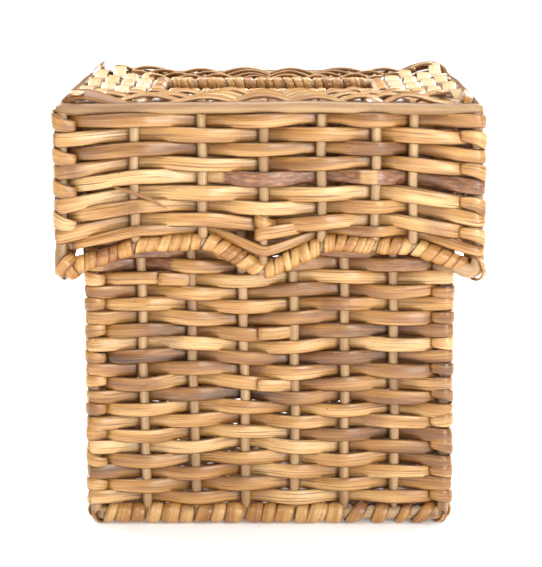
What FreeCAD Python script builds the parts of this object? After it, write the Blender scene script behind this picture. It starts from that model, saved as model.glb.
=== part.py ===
import FreeCAD, Part
import math
import os

from FreeCAD import Vector

# Woven rattan tissue-box holder: a square basket under a telescoping lift-off lid.
# Millimetres, +Z up, front at -Y. Origin: on the ground, under the centre of the basket.

# ---- round rods and flat-oval strands
STAKE_R = 2.0
TOP_STAKE_R = 1.5
POST_R = 2.3
BOUND_ROD_R = 2.1
BASE_ROD_R = 2.5
LID_ROD_R = 2.35
BINDING_T = 0.9
SKIRT_BINDING_T = 1.1
BASE_BINDING_T = 1.8
BINDING_FIT = 0.3
SIDE_ROD_SLIM = 0.1
STRAND_T = 1.0
STRAND_W = 4.7
TOP_STRAND_W = 5.4
STRAND_FIT = 0.12
TOP_STRAND_FIT = 0.35
COURSE_GAP = 0.25
BOUND_R = BOUND_ROD_R + BINDING_T
SKIRT_BOUND_R = BOUND_ROD_R + SKIRT_BINDING_T
BASE_BOUND_R = BASE_ROD_R + BASE_BINDING_T

# ---- basket
BASKET_HALF = 68.6
BASE_Z = BASE_BOUND_R
BASKET_RIM_Z = 161.4
BASKET_COURSES = 29
COURSES_PER_NODE = 3
BASE_ROD_SEAT = 0.5
FLOOR_STRANDS = 24
FLOOR_EDGE = 64.0

# ---- lid
LID_HALF = 79.1
LID_RIM_Z = 166.0
LID_ROD_OVERHANG = 2.3
SKIRT_CORNER_Z = 103.8
SKIRT_SHOULDER_Z = 113.6
SKIRT_ARCH_Z = 114.9
SKIRT_VALLEY_Z = 103.0
SKIRT_BEND_R = 12.0
SKIRT_VALLEY_BEND_R = 6.0
SKIRT_GAP = 1.15

# courses of the lid's walls from the top down, and how far each follows the skirt's lower edge
LID_COURSE_NODES = ((0, 1, 2), (3, 4, 5), (6, 7), (8,))
CORNER_SAG = (0.0, 0.0, 0.1, 0.2, 0.3, 0.4, 0.5, 0.65, 0.96)
VALLEY_SAG = (0.0, 0.0, 0.0, 0.0, 0.0, 0.0, 0.1, 0.35, 0.96)
LID_COURSES = len(CORNER_SAG)

# ---- top of the lid and its slot
SLOT_HALF_X = 46.0
SLOT_HALF_Y = 28.7
CORNER_STAKE_RIM_X = LID_HALF - 5.0
CORNER_STAKE_SLOT_X = SLOT_HALF_X - 4.0
SLOT_Z = LID_RIM_Z + 0.7
TOP_STAKE_RIM_Z = LID_RIM_Z + 1.8
TOP_STAKE_SLOT_Z = LID_RIM_Z + 1.2
SLEEVE_MIN = 1.5
FAN_LONG = 0.55
FAN_SHORT = 0.40
TOP_ROWS = 7
TOP_ROW_INNER = 34.8
TOP_COLUMNS = 4
TOP_COLUMN_INNER = 52.4
TOP_OUTER = 73.2
TOP_RINGS = 3
COLUMN_FITS = (TOP_STRAND_FIT, TOP_STRAND_FIT, 0.6, 1.3)

# ---- stakes along each side, from its left end to its right end seen from outside
STAKES_PER_SIDE = 6
SPANS = STAKES_PER_SIDE + 1
SIDES = ("front", "right", "back", "left")
CORNERS = ("front_left", "front_right", "back_right", "back_left")
BASKET_STAKES = [BASKET_HALF * (2 * i / SPANS - 1) for i in range(1, SPANS)]
EVEN_LID_STAKES = [LID_HALF * (2 * i / SPANS - 1) for i in range(1, SPANS)]
FRONT_LID_STAKES = [-51.5, -25.5, -2.5, 20.0, 40.5, 55.0]
LID_STAKES = {
    "front": FRONT_LID_STAKES,
    "right": EVEN_LID_STAKES,
    "back": EVEN_LID_STAKES,
    "left": EVEN_LID_STAKES,
}

# arches of the skirt as (x, z) bends, from corner to corner
FRONT_SKIRT = [
    (-LID_HALF, SKIRT_CORNER_Z),
    (-50.0, SKIRT_SHOULDER_Z),
    (-23.0, SKIRT_ARCH_Z),
    (-2.0, SKIRT_VALLEY_Z),
    (22.5, SKIRT_ARCH_Z - 0.5),
    (57.0, SKIRT_SHOULDER_Z - 1.2),
    (LID_HALF, SKIRT_CORNER_Z),
]
EVEN_SKIRT = [
    (-LID_HALF, SKIRT_CORNER_Z),
    (-52.0, SKIRT_SHOULDER_Z),
    (-23.0, SKIRT_ARCH_Z),
    (0.0, SKIRT_VALLEY_Z),
    (23.0, SKIRT_ARCH_Z),
    (52.0, SKIRT_SHOULDER_Z),
    (LID_HALF, SKIRT_CORNER_Z),
]
SKIRTS = {"front": FRONT_SKIRT, "right": EVEN_SKIRT, "back": EVEN_SKIRT, "left": EVEN_SKIRT}

UP = Vector(0, 0, 1)
ACROSS = Vector(0, 1, 0)
ALONG = Vector(1, 0, 0)
MITRE_GAP = 0.1
COLUMN_END_GAP = 3.4
RIBBON_PAST = 40.0
BIG = 400.0


def on_side(shape, side):
    """Turns a shape made for the front to one of the four sides."""
    turned = shape.copy()
    turned.rotate(Vector(0, 0, 0), UP, 90 * SIDES.index(side))
    return turned


def save(name, solids):
    """Writes one node: a single solid, or a group of separate ones."""
    solids = [s for shape in solids for s in shape.Solids]
    shape = solids[0] if len(solids) == 1 else Part.makeCompound(solids)
    for s in solids:
        if not s.isValid() or s.Volume <= 0:
            print("bad solid in", name)
    shape.exportStep("parts/" + name + ".step")


def rod(start, end, radius):
    """A straight round rod."""
    run = end - start
    return Part.makeCylinder(radius, run.Length, start, run)


def is_long(side):
    """The front and back rods run the full width; the left and right ones butt against them."""
    return side in ("front", "back")


def frame_rod(side, reach, depth, height, radius):
    """One rod of a square frame. The side ones are slimmer, so that they seat on the long ones."""
    if not is_long(side):
        radius -= SIDE_ROD_SLIM
    ends = (Vector(-reach, -depth, height), Vector(reach, -depth, height))
    return on_side(rod(*ends, radius), side)


def cut_from(shape, tools):
    """What is left of a rod after notching it round its neighbours: the largest piece."""
    for tool in tools:
        shape = shape.cut(tool)
    return max(shape.Solids, key=lambda s: s.Volume)


# ---- woven strands ------------------------------------------------------------------


def smooth_curve(points, tangents):
    """A spline through points that leaves each one along its tangent."""
    curve = Part.BSplineCurve()
    flags = [True] * len(points)
    curve.interpolate(Points=points, Tangents=tangents, TangentFlags=flags)
    return curve.toShape()


def closed_strand(outer, inner, run):
    """A strand between two edges, each (edges, first point, last point), extruded by run."""
    outer_edges, outer_start, outer_end = outer
    inner_edges, inner_start, inner_end = inner
    ends = [Part.makeLine(outer_end, inner_end), Part.makeLine(inner_start, outer_start)]
    edges = outer_edges + [ends[0]] + inner_edges[::-1] + [ends[1]]
    return Part.Face(Part.Wire(edges)).extrude(run)


def wall_edge(half, stakes, sign, low, offset):
    """One edge of a front wall's strand, offset from its middle line.

    It passes round the outside of a corner post as an arc, and bends freely inside one.
    """
    slant = math.sqrt(0.5)
    reach = POST_R + STRAND_FIT + STRAND_T / 2
    amp = STAKE_R + STRAND_FIT + STRAND_T / 2
    outward = Vector(0, -1, 0)
    left_post, left_out = Vector(-half, -half, low), Vector(-slant, -slant, 0)
    right_post, right_out = Vector(half, -half, low), Vector(slant, -slant, 0)
    first = left_post + left_out * (sign * reach + offset)
    arcs = []
    points = [first]
    tangents = [Vector(slant, -slant, 0), Vector(slant, slant, 0)]
    if sign > 0:
        points = [left_post + outward * (reach + offset)]
        tangents[0] = ALONG
        mid = (left_out + outward).normalize() * (reach + offset)
        arcs.append(Part.Arc(first, left_post + mid, points[0]).toShape())
    for x in stakes:
        sign = -sign
        points.append(Vector(x, -half, low) + outward * (sign * amp + offset))
    sign = -sign
    last = right_post + right_out * (sign * reach + offset)
    if sign > 0:
        points.append(right_post + outward * (reach + offset))
        tangents[1] = ALONG
        mid = (right_out + outward).normalize() * (reach + offset)
        arcs.append(Part.Arc(points[-1], right_post + mid, last).toShape())
    else:
        points.append(last)
    tangents = tangents[:1] + [ALONG] * (len(points) - 2) + tangents[1:]
    wave = smooth_curve(points, tangents)
    at = 1 if sign < 0 else 0
    return arcs[:at] + [wave] + arcs[at:], first, last


def wall_strand(half, stakes, sign, low, height):
    """One strand of a front wall between two corner posts, where it is mitred at 45 degrees.

    sign is +1 where it passes outside its left corner post; it alternates at each crossing.
    """
    outer = wall_edge(half, stakes, sign, low, STRAND_T / 2)
    inner = wall_edge(half, stakes, sign, low, -STRAND_T / 2)
    return closed_strand(outer, inner, UP * height)


def course_sign(course, side):
    """Courses alternate, and an odd number of spans per side alternates the corners."""
    return (-1) ** (course + SIDES.index(side))


def sheet_strand(level, crossings, sign, low, width, clear, past):
    """A strand of a flat panel: it runs along X, past its end crossings, and waves in Z.

    clear is how far its near face stays from the middle line of a stake that it crosses.
    """
    amp = clear + STRAND_T / 2
    edges = []
    for offset in (STRAND_T / 2, -STRAND_T / 2):
        heights = [level + sign * (-1) ** i * amp + offset for i in range(len(crossings))]
        points = [Vector(x, low, z) for x, z in zip(crossings, heights)]
        points.insert(0, points[0] - ALONG * past)
        points.append(points[-1] + ALONG * past)
        wave = smooth_curve(points, [ALONG] * len(points))
        edges.append(([wave], points[0], points[-1]))
    return closed_strand(edges[0], edges[1], ACROSS * width)


# ---- basket -------------------------------------------------------------------------


def basket_frame():
    half = BASKET_HALF
    base = {}
    rim = {}
    for side in SIDES:
        base[side] = frame_rod(side, half - POST_R + BASE_ROD_SEAT, half, BASE_Z, BASE_ROD_R)
        reach = half + POST_R if is_long(side) else half
        rim[side] = frame_rod(side, reach, half, BASKET_RIM_Z, BOUND_ROD_R)
    posts = {}
    for corner, side in zip(CORNERS, SIDES):
        foot = Vector(-half, -half, 0)
        post = on_side(rod(foot, foot + UP * BASKET_RIM_Z, POST_R), side)
        posts[corner] = cut_from(post, [rim["front"], rim["back"]])
        posts[corner] = cut_from(posts[corner], [rim["left"], rim["right"]])
        save("corner_post_" + corner, [posts[corner]])
    for side in SIDES:
        save("base_rod_" + side, [cut_from(base[side], posts.values())])
        ready = rim[side] if is_long(side) else cut_from(rim[side], [rim["front"], rim["back"]])
        save("rim_rod_" + side, [ready])
        stakes = []
        for x in BASKET_STAKES:
            foot = Vector(x, -half, BASE_Z)
            stake = rod(foot, foot + UP * (BASKET_RIM_Z - BASE_Z), STAKE_R)
            stakes.append(cut_from(on_side(stake, side), [base[side], rim[side]]))
        save("wall_stakes_" + side, stakes)


def sleeves(edges, height, half, rod_r, bound_r):
    """Cane bindings wound round a straight front rod, each from one edge to the next."""
    made = []
    for left, right in edges:
        start = Vector(left, -half, height)
        run = Vector(right, -half, height) - start
        outer = Part.makeCylinder(bound_r, run.Length, start, run)
        made.append(outer.cut(Part.makeCylinder(rod_r, run.Length, start, run)))
    return made


def between(stakes, half, gap, end_gap):
    """The free stretches of a rod from corner to corner, clear of its stakes and its ends."""
    lefts = [-half + end_gap] + [x + gap for x in stakes]
    rights = [x - gap for x in stakes] + [half - end_gap]
    return list(zip(lefts, rights))


def basket_bindings():
    for name, height, rod_r, bound_r in (
        ("base_binding", BASE_Z, BASE_ROD_R, BASE_BOUND_R),
        ("rim_binding", BASKET_RIM_Z, BOUND_ROD_R, BOUND_R),
    ):
        end_gap = bound_r + BINDING_FIT
        edges = between(BASKET_STAKES, BASKET_HALF, STAKE_R + BINDING_FIT, end_gap)
        made = sleeves(edges, height, BASKET_HALF, rod_r, bound_r)
        save(name, [on_side(s, side) for side in SIDES for s in made])


def basket_walls():
    low = BASE_Z + BASE_BOUND_R + COURSE_GAP
    high = BASKET_RIM_Z - BOUND_R - COURSE_GAP
    pitch = (high - low - STRAND_W) / (BASKET_COURSES - 1)
    strand = {s: wall_strand(BASKET_HALF, BASKET_STAKES, s, 0, STRAND_W) for s in (1, -1)}
    for node, first in enumerate(range(0, BASKET_COURSES, COURSES_PER_NODE)):
        made = []
        for course in range(first, min(first + COURSES_PER_NODE, BASKET_COURSES)):
            for side in SIDES:
                piece = on_side(strand[course_sign(course, side)], side)
                piece.translate(UP * (low + course * pitch))
                made.append(piece)
        save("wall_courses_%02d" % (node + 1), made)


def basket_floor():
    half = BASKET_HALF
    front = rod(Vector(-half, -half, BASE_Z), Vector(half, -half, BASE_Z), BASE_ROD_R)
    ends = [front, on_side(front, "back")]
    stakes = []
    for x in BASKET_STAKES:
        stake = rod(Vector(x, -half, BASE_Z), Vector(x, half, BASE_Z), STAKE_R)
        stakes.append(cut_from(stake, ends))
    save("floor_stakes", stakes)
    pitch = (2 * FLOOR_EDGE - STRAND_W) / (FLOOR_STRANDS - 1)
    end = FLOOR_EDGE - BASKET_STAKES[-1]
    strands = []
    for i in range(FLOOR_STRANDS):
        low = -FLOOR_EDGE + i * pitch
        sign = (-1) ** i
        strands.append(
            sheet_strand(BASE_Z, BASKET_STAKES, sign, low, STRAND_W, STAKE_R + STRAND_FIT, end)
        )
    save("floor_strands", strands)


# ---- lid ----------------------------------------------------------------------------


def bent_path(points, radii):
    """Straight runs joined by tangent arcs: ("line", p, q) and ("arc", centre, p, axis, degrees)."""
    steps = []
    here = points[0]
    for before, bend, after, radius in zip(points, points[1:], points[2:], radii):
        into = (bend - before).normalize()
        out = (after - bend).normalize()
        turn = math.acos(max(-1.0, min(1.0, into.dot(out))))
        back = radius * math.tan(turn / 2)
        start = bend - into * back
        axis = into.cross(out).normalize()
        centre = start + axis.cross(into) * radius
        steps.append(("line", here, start))
        steps.append(("arc", centre, start, into, axis, math.degrees(turn)))
        here = bend + out * back
    steps.append(("line", here, points[-1]))
    return steps


def bent_rod(steps, radius):
    """A round rod along a bent path."""
    pieces = []
    for step in steps:
        if step[0] == "line":
            pieces.append(rod(step[1], step[2], radius))
        else:
            _, centre, start, into, axis, degrees = step
            disc = Part.Face(Part.Wire(Part.Circle(start, into, radius).toShape()))
            pieces.append(disc.revolve(centre, axis, degrees))
    return pieces[0].multiFuse(pieces[1:]).removeSplitter()


def skirt_steps(side):
    points = [Vector(x, -LID_HALF, z) for x, z in SKIRTS[side]]
    radii = [SKIRT_BEND_R] * (len(points) - 2)
    radii[len(radii) // 2] = SKIRT_VALLEY_BEND_R
    return bent_path(points, radii)


def lid_frame():
    half = LID_HALF
    rim = {}
    for side in SIDES:
        reach = half + LID_ROD_OVERHANG if is_long(side) else half
        rim[side] = frame_rod(side, reach, half, LID_RIM_Z, LID_ROD_R)
    long_rods = [rim["front"], rim["back"]]
    skirt = {side: on_side(bent_rod(skirt_steps(side), BOUND_ROD_R), side) for side in SIDES}
    posts = {}
    for corner, side in zip(CORNERS, SIDES):
        foot = Vector(-half, -half, SKIRT_CORNER_Z - SKIRT_BOUND_R)
        post = on_side(rod(foot, Vector(-half, -half, LID_RIM_Z), POST_R), side)
        posts[corner] = cut_from(post, rim.values())
        save("lid_corner_post_" + corner, [posts[corner]])
    for side in SIDES:
        ready = rim[side] if is_long(side) else cut_from(rim[side], long_rods)
        save("lid_rim_rod_" + side, [ready])
        save("skirt_rod_" + side, [cut_from(skirt[side], posts.values())])
        stakes = []
        for x in LID_STAKES[side]:
            foot = Vector(x, -half, SKIRT_CORNER_Z)
            stake = on_side(rod(foot, Vector(x, -half, LID_RIM_Z), STAKE_R), side)
            left = stake.cut(rim[side]).cut(skirt[side])
            stakes.append(max(left.Solids, key=lambda s: s.Volume))
        save("lid_stakes_" + side, stakes)


def skirt_binding():
    made = []
    end_gap = SKIRT_BOUND_R + BINDING_FIT
    for side in SIDES:
        steps = skirt_steps(side)
        tube = bent_rod(steps, SKIRT_BOUND_R).cut(bent_rod(steps, BOUND_ROD_R))
        for left, right in between(LID_STAKES[side], LID_HALF, STAKE_R + BINDING_FIT, end_gap):
            corner = Vector(left, -LID_HALF - BIG / 2, 0)
            stretch = tube.common(Part.makeBox(right - left, BIG, BIG, corner))
            made.append(on_side(stretch, side))
    save("skirt_binding", made)


def ribbon(side, course, middle):
    """The stretch of wall that one course of the lid fills, sagging like the skirt's lower edge."""
    spots = SKIRTS[side]
    line = []
    for i, (x, z) in enumerate(spots):
        sag = VALLEY_SAG if i == len(spots) // 2 else CORNER_SAG
        line.append((x, middle - sag[course] * (SKIRT_ARCH_Z - z)))
    past = LID_HALF + RIBBON_PAST
    line = [(-past, line[0][1])] + line + [(past, line[-1][1])]
    top = [Vector(x, -past, z + STRAND_W / 2) for x, z in line]
    low = [Vector(x, -past, z - STRAND_W / 2) for x, z in reversed(line)]
    outline = Part.makePolygon(top + low + top[:1])
    return Part.Face(outline).extrude(ACROSS * (2 * RIBBON_PAST))


def lid_walls():
    top = LID_RIM_Z - LID_ROD_R - COURSE_GAP - STRAND_W / 2
    low = SKIRT_ARCH_Z + SKIRT_BOUND_R + SKIRT_GAP + STRAND_W / 2
    pitch = (top - low) / (LID_COURSES - 1)
    for node, courses in enumerate(LID_COURSE_NODES):
        made = []
        for course in courses:
            middle = top - course * pitch
            for side in SIDES:
                sign = course_sign(course + 1, side)
                stakes = LID_STAKES[side]
                if CORNER_SAG[course]:
                    bottom = SKIRT_CORNER_Z
                    wall = wall_strand(LID_HALF, stakes, sign, bottom, LID_RIM_Z - bottom)
                    piece = wall.common(ribbon(side, course, middle))
                else:
                    piece = wall_strand(LID_HALF, stakes, sign, middle - STRAND_W / 2, STRAND_W)
                made.append(on_side(piece, side))
        save("lid_courses_%d" % (node + 1), made)


def top_reach(side):
    """Half length and depth of the slot, and how far the stakes fan in, as that side sees them."""
    if is_long(side):
        return SLOT_HALF_X, SLOT_HALF_Y, FAN_LONG
    return SLOT_HALF_Y, SLOT_HALF_X, FAN_SHORT


def fanned(x, depth, slot_depth, fan):
    """Where a top stake from x on the rim lies at a distance depth from the lid's centre."""
    share = (LID_HALF - depth) / (LID_HALF - slot_depth)
    return x * (1 - share * (1 - fan))


def corner_stake_at(side, depth):
    """Where the corner stake crosses a strand at that depth, along the side."""
    if is_long(side):
        share = (LID_HALF - depth) / (LID_HALF - SLOT_HALF_Y)
        return CORNER_STAKE_RIM_X - share * (CORNER_STAKE_RIM_X - CORNER_STAKE_SLOT_X)
    share = (CORNER_STAKE_RIM_X - depth) / (CORNER_STAKE_RIM_X - CORNER_STAKE_SLOT_X)
    return LID_HALF - share * (LID_HALF - SLOT_HALF_Y)


def stake_foot(x, at, slot_depth):
    """The stretch of a bound slot rod that a slanting stake takes up; it lies at x on the rim."""
    lean = (x - at) / (LID_HALF - slot_depth)
    side_reach = TOP_STAKE_R * math.hypot(1, lean) + BINDING_FIT
    sweep = lean * BOUND_R
    return at - side_reach + min(sweep, 0), at + side_reach + max(sweep, 0)


def lid_top():
    slot_rods = {}
    rim = {}
    for side in SIDES:
        long_half, depth, _ = top_reach(side)
        reach = long_half + (BOUND_ROD_R if is_long(side) else 0)
        slot_rods[side] = frame_rod(side, reach, depth, SLOT_Z, BOUND_ROD_R)
        rim[side] = frame_rod(side, LID_HALF, LID_HALF, LID_RIM_Z, LID_ROD_R)
    stakes = []
    bindings = []
    for side in SIDES:
        long_half, depth, fan = top_reach(side)
        ready = slot_rods[side]
        if not is_long(side):
            ready = cut_from(ready, [slot_rods["front"], slot_rods["back"]])
        save("slot_rod_" + side, [ready])
        for x in LID_STAKES[side]:
            start = Vector(x, -LID_HALF, TOP_STAKE_RIM_Z)
            end = Vector(x * fan, -depth, TOP_STAKE_SLOT_Z)
            stake = on_side(rod(start, end, TOP_STAKE_R), side)
            stakes.append(cut_from(stake, [rim[side], slot_rods[side]]))
        feet = [(x, x * fan) for x in LID_STAKES[side]]
        if is_long(side):
            last = (CORNER_STAKE_RIM_X, CORNER_STAKE_SLOT_X)
            feet = [(-last[0], -last[1])] + feet + [last]
        spots = [stake_foot(x, at, depth) for x, at in feet]
        edges = [(left[1], right[0]) for left, right in zip(spots, spots[1:])]
        edges = [(left, right) for left, right in edges if right - left > SLEEVE_MIN]
        for piece in sleeves(edges, SLOT_Z, depth, BOUND_ROD_R, BOUND_R):
            bindings.append(on_side(piece, side))
        if is_long(side):
            for sign in (-1, 1):
                start = Vector(sign * CORNER_STAKE_RIM_X, -LID_HALF, TOP_STAKE_RIM_Z)
                end = Vector(sign * CORNER_STAKE_SLOT_X, -depth, TOP_STAKE_SLOT_Z)
                stake = on_side(rod(start, end, TOP_STAKE_R), side)
                stakes.append(cut_from(stake, [rim[side], slot_rods[side]]))
    save("slot_binding", bindings)
    save("top_stakes", stakes)


def top_band(side):
    """The part of the top that one side's strands fill, mitred along the corner stakes."""
    if is_long(side):
        right = [(CORNER_STAKE_RIM_X, LID_HALF), (CORNER_STAKE_SLOT_X, SLOT_HALF_Y)]
    else:
        inside = LID_HALF - LID_ROD_R
        share = LID_ROD_R / (LID_HALF - SLOT_HALF_Y)
        meets = CORNER_STAKE_RIM_X - share * (CORNER_STAKE_RIM_X - CORNER_STAKE_SLOT_X)
        right = [(inside, LID_HALF), (inside, meets), (SLOT_HALF_Y, CORNER_STAKE_SLOT_X)]
    low = LID_RIM_Z - BIG / 4
    gap = MITRE_GAP if is_long(side) else COLUMN_END_GAP
    points = [Vector(x - gap, -depth, low) for x, depth in right]
    points += [Vector(-p.x, p.y, low) for p in reversed(points)]
    return Part.Face(Part.makePolygon(points + points[:1])).extrude(UP * (BIG / 2))


def top_weave():
    """Strands round the slot. The inner ones at the sides stand clear of the slanted stakes."""
    groups = [[] for _ in range(TOP_RINGS)]
    for side in SIDES:
        _, depth, fan = top_reach(side)
        count = TOP_ROWS if is_long(side) else TOP_COLUMNS
        inner = TOP_ROW_INNER if is_long(side) else TOP_COLUMN_INNER
        pitch = (TOP_OUTER - inner) / (count - 1)
        band = top_band(side)
        for row in range(count):
            out = TOP_OUTER - row * pitch
            share = (LID_HALF - out) / (LID_HALF - depth)
            level = TOP_STAKE_RIM_Z + share * (TOP_STAKE_SLOT_Z - TOP_STAKE_RIM_Z)
            corner = corner_stake_at(side, out)
            middle = [fanned(x, out, depth, fan) for x in LID_STAKES[side]]
            sign = (-1) ** (row + SIDES.index(side))
            low = -out - TOP_STRAND_W / 2
            fit = TOP_STRAND_FIT if is_long(side) else COLUMN_FITS[row]
            strand = sheet_strand(
                level,
                [-corner] + middle + [corner],
                sign,
                low,
                TOP_STRAND_W,
                TOP_STAKE_R + fit,
                TOP_STRAND_W,
            )
            group = groups[row * TOP_RINGS // count]
            group.append(on_side(strand.common(band), side))
    for number, group in enumerate(groups):
        save("top_rings_%d" % (number + 1), group)


os.makedirs("parts", exist_ok=True)
basket_frame()
basket_bindings()
basket_walls()
basket_floor()
lid_frame()
skirt_binding()
lid_walls()
lid_top()
top_weave()
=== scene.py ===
import math

import bpy
import numpy as np
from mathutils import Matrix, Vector


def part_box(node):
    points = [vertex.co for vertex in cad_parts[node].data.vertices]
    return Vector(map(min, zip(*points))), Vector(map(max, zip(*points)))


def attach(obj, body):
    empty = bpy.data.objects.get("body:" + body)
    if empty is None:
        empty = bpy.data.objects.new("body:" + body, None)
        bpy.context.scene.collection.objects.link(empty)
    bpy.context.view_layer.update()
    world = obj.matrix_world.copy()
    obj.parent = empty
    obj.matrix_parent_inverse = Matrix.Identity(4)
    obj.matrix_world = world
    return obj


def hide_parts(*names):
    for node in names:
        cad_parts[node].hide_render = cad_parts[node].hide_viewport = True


# Looks of a woven rattan box with a lift-off lid. All lengths below are millimetres in the part's
# own frame (+Z up, front at -Y); meshes are written in metres.

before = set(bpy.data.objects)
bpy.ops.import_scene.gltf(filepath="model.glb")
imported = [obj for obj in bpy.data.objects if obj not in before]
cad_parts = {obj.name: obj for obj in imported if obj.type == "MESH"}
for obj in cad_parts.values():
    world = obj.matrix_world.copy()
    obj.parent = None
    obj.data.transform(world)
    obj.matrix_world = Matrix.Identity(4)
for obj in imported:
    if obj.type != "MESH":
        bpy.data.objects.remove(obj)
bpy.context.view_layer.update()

MM = 0.001
SIDES = ("front", "right", "back", "left")
CORNERS = ("front_left", "front_right", "back_right", "back_left")
SPANS = 7
QUARTER = math.pi / 2
SLANT = math.sqrt(0.5)
FORWARD = (0.0, -1.0, 0.0)
UP = (0.0, 0.0, 1.0)


def node_box(node):
    low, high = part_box(node)
    return np.array(low) / MM, np.array(high) / MM


def middle_of(node):
    low, high = node_box(node)
    return (low + high) / 2


def height_of(node):
    low, high = node_box(node)
    return high[2] - low[2]


# ---- places and sizes read from the part's own nodes
BASKET_HALF = -middle_of("corner_post_front_left")[0]
POST_R = -node_box("corner_post_front_left")[0][0] - BASKET_HALF
BASE_Z = middle_of("base_rod_front")[2]
BASE_ROD_R = height_of("base_rod_front") / 2
BASE_BOUND_R = height_of("base_binding") / 2
RIM_Z = middle_of("rim_rod_front")[2]
RIM_ROD_R = height_of("rim_rod_front") / 2
RIM_BOUND_R = height_of("rim_binding") / 2
COURSES_LOW = node_box("wall_courses_01")[0][2]
COURSES_HIGH = node_box("wall_courses_10")[1][2]
LID_HALF = -middle_of("lid_corner_post_front_left")[0]
LID_RIM_Z = middle_of("lid_rim_rod_front")[2]
LID_ROD_R = height_of("lid_rim_rod_front") / 2
LID_ROD_REACH = node_box("lid_rim_rod_front")[1][0]
SLOT_HALF_X = node_box("slot_rod_right")[1][0] - height_of("slot_rod_right") / 2
SLOT_HALF_Y = node_box("slot_rod_back")[1][1] - height_of("slot_rod_back") / 2
SLOT_Z = middle_of("slot_rod_front")[2]
SLOT_ROD_R = height_of("slot_rod_front") / 2

# ---- weave
STAKE_R = 2.0
TOP_STAKE_R = 1.5
STRAND_W = 5.5
STRAND_T = 1.5
LOOP_T = 1.4
CAD_STRAND_W = 4.7
COURSES = 29
COURSES_PER_NODE = 3
POINTS_PER_SPAN = 13
# how pale the strands are: usual tone, spread, and share of dark ones
BASKET_TONE = (0.62, 0.15, 0.12)
LID_TONE = (0.70, 0.12, 0.04)
BASKET_STAKES = [BASKET_HALF * (2 * i / SPANS - 1) for i in range(1, SPANS)]
LID_STAKES = {s: [LID_HALF * (2 * i / SPANS - 1) for i in range(1, SPANS)] for s in SIDES}
LID_STAKES["front"] = [-51.5, -25.5, -2.5, 20.0, 40.5, 55.0]
# courses of the basket where a new strand's cut end shows: course, side, stake just left of it
CUT_ENDS = (
    (17, "front", 1),
    (9, "front", 3),
    (13, "front", 3),
    (12, "right", 1),
    (19, "right", 4),
    (15, "back", 3),
    (7, "left", 2),
)
FRONT_STAKE_LEAN = (-2.4, -2.0, -1.5, -0.4, -0.8, -0.8)

# ---- lid courses from the top down: height and width in the middle of a side, how far each
# droops to the corners, and how far it dips in the valley between two arches
LID_COURSE_NODES = ((0, 1, 2), (3, 4, 5), (6, 7), (8,))
LID_ROW_Z = (161.8, 156.2, 150.6, 145.1, 139.7, 133.4, 128.3, 122.7, 118.9)
LID_ROW_W = (5.2, 5.6, 5.3, 5.3, 5.8, 6.0, 5.4, 5.6, 4.2)
LID_DROOP = (0.5, 2.2, 2.5, 3.5, 3.9, 5.1, 5.0, 5.9, 7.6)
LID_DIP = (0.0, 0.0, 0.0, 0.0, 0.0, 0.0, 0.4, 2.0, 7.8)
BARK_COURSE = 4
WEATHERED_COURSES = (18, 19)
SKIRT_CORNER_Z = 103.8
SKIRT_SHOULDER_Z = 113.6
SKIRT_ARCH_Z = 114.9
SKIRT_VALLEY_Z = 103.0
# bends of the skirt's lower edge from left to right, as (x, z)
FRONT_BENDS = (
    (-50.0, SKIRT_SHOULDER_Z),
    (-23.0, SKIRT_ARCH_Z),
    (-2.0, SKIRT_VALLEY_Z),
    (22.5, SKIRT_ARCH_Z - 0.5),
    (57.0, SKIRT_SHOULDER_Z - 1.2),
)
ARCH_X = 23.0
EVEN_BENDS = (
    (-52.0, SKIRT_SHOULDER_Z),
    (-ARCH_X, SKIRT_ARCH_Z),
    (0.0, SKIRT_VALLEY_Z),
    (ARCH_X, SKIRT_ARCH_Z),
    (52.0, SKIRT_SHOULDER_Z),
)
SKIRT_RADII = (12.0, 12.0, 6.0, 12.0, 12.0)
SKIRT_ROD_R = 2.1

# ---- top of the lid
TOP_ROWS = 7
TOP_COLUMNS = 4
TOP_ROW_INNER = 34.8
TOP_COLUMN_INNER = 52.4
TOP_OUTER = 73.2
TOP_RINGS = 3
TOP_STRAND_W = 5.8
TOP_STRAND_T = 1.5
ROW_TILT = -0.14
# tone of the top's side columns, past the ramp's end, so that they are paled as painted glare from
# the back lights
PAINTED_GLARE_TONE = 1.4
CORNER_RISE = 2.2
FAN_LONG = 0.55
FAN_SHORT = 0.40
CORNER_RIM_X = LID_HALF - 5.0
CORNER_SLOT_X = SLOT_HALF_X - 4.0
TOP_RIM_Z = LID_RIM_Z + 1.8
TOP_SLOT_Z = LID_RIM_Z + 1.2

# ---- floor of the basket, and where the front base rod's binding turns sparse
FLOOR_STRANDS = 24
FLOOR_STRAND_W = 4.8
SPARSE_FROM_X = 20.0

# ---- studio, in metres: name, place, aim, size and power of each light, and the camera
LIGHTS = (
    ("key", (0.62, -1.25, 0.5), (0, 0, 0.09), (0.6, 0.75), 13.5),
    ("top", (0.1, 0.15, 1.3), (0, 0, 0.1), (1.0, 1.0), 14),
    ("fill", (-0.45, -1.0, 1.2), (0, 0, 0.08), (0.5, 0.5), 6.5),
    ("back_left", (-0.9, 0.9, 0.8), (0, 0, 0.15), (0.8, 0.8), 26),
    ("back_right", (0.9, 0.9, 0.8), (0, 0, 0.15), (0.8, 0.8), 26),
)
FLOOR_REACH = 12.0
CAMERA_PLACE = (0.0006, -0.931, 0.244)
CAMERA_LOOKS_DOWN = 9.7
CAMERA_LENS = 142.2

rng = np.random.default_rng(20)


# ---- mesh building


def waves(s, lengths, sizes):
    """A smooth random curve: a sum of sines of given wavelengths and amplitudes."""
    total = np.zeros_like(s, dtype=float)
    for length, size in zip(lengths, sizes):
        total += size * np.sin(2 * math.pi * s / length + rng.uniform(0, 2 * math.pi))
    return total


def unit(v):
    return v / np.maximum(np.linalg.norm(v, axis=-1, keepdims=True), 1e-9)


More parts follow.
